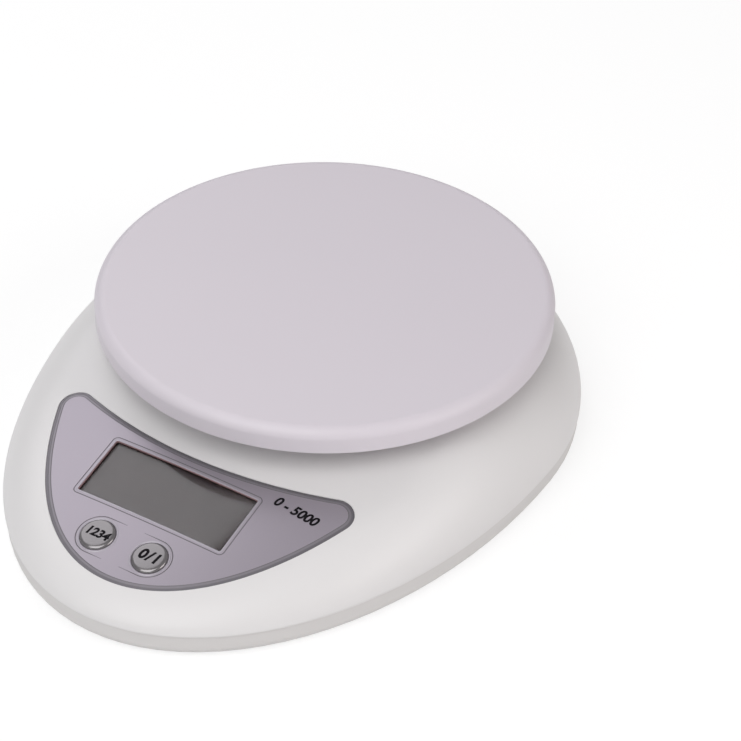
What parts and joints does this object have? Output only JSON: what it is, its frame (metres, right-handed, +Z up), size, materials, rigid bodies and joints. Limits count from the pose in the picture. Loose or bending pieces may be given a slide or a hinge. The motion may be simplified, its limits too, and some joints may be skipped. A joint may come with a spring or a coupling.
{
  "type": "kitchen scale",
  "caption": "Low egg-shaped kitchen scale with a round weighing platform and a sloping front panel that holds a display and push buttons.",
  "frame": {"origin": "centre of the housing's outline, on the surface that the rubber feet stand on", "axes": "+Z up, +Y from the nose with the panel to the tail, +X to the reader's right"},
  "size_m": [0.1728, 0.2184, 0.048],
  "materials": {
    "housing_white": "smooth, semi-gloss",
    "base_white": "fine satin",
    "platform_white": "smooth, satin",
    "inner_plastic": "plain moulded",
    "foot_rubber": "matte",
    "screw_steel": "zinc plated",
    "beam_aluminium": "milled",
    "spacer_steel": "stamped",
    "seal_silicone": "soft, matte",
    "panel_grey": "silk, printed",
    "window_clear": "clear",
    "display_grey": "reflective grey green",
    "frame_plastic": "plain moulded",
    "strip_elastomer": "matte",
    "board_green": "solder mask",
    "chip_black": "matte",
    "button_silver": "bright plating",
    "switch_black": "plain moulded",
    "cell_jacket": "printed jacket",
    "contact_nickel": "nickel plated",
    "cable_grey": "soft sheath",
    "lead_red": "soft sheath",
    "lead_black": "soft sheath"
  },
  "bodies": {
    "housing": {"upper_housing": "housing_white", "lower_housing": "base_white", "rubber_feet": "foot_rubber", "housing_screws": "screw_steel", "load_cell": "beam_aluminium", "gauge_seals": "seal_silicone", "base_spacer": "spacer_steel", "base_screws": "screw_steel", "overload_stop": "screw_steel", "front_panel": "panel_grey", "display_window": "window_clear", "display_glass": "display_grey", "display_frame": "frame_plastic", "contact_strip": "strip_elastomer", "circuit_board": "board_green", "board_chips": "chip_black", "board_screws": "screw_steel", "unit_switch": "switch_black", "power_switch": "switch_black", "battery_cells": "cell_jacket", "battery_springs": "contact_nickel", "bridge_contact": "contact_nickel", "lead_contacts": "contact_nickel", "load_cell_cable": "cable_grey", "positive_lead": "lead_red", "negative_lead": "lead_black"},
    "platform": {"weighing_platform": "platform_white", "platform_carrier": "inner_plastic", "platform_screws": "screw_steel", "carrier_screws": "screw_steel", "top_spacer": "spacer_steel"},
    "unit_key": {"unit_button": "button_silver", "unit_plunger": "switch_black"},
    "power_key": {"power_button": "button_silver", "power_plunger": "switch_black"},
    "door": {"battery_door": "base_white", "door_latch": "base_white"}
  },
  "joints": [
    {"name": "platform_sink", "type": "slide", "parent": "housing", "child": "platform", "axis": [0, 0, -1], "range_m": [0, 0.0005], "stiffness_N_per_m": 98000, "springref_m": -0.00001, "deforming": ["load_cell"]},
    {"name": "unit_press", "type": "slide", "parent": "housing", "child": "unit_key", "axis": [0, 0.2079, -0.9781], "range_m": [0, 0.0004], "stiffness_N_per_m": 1200, "springref_m": -0.0005},
    {"name": "power_press", "type": "slide", "parent": "housing", "child": "power_key", "axis": [0, 0.2079, -0.9781], "range_m": [0, 0.0004], "stiffness_N_per_m": 1200, "springref_m": -0.0005},
    {"name": "door_swing", "type": "hinge", "parent": "housing", "child": "door", "pos_m": [0, 0.04435, 0.001], "axis": [-1, 0, 0], "range_deg": [0, 60], "deforming": ["door_latch"]}
  ]
}
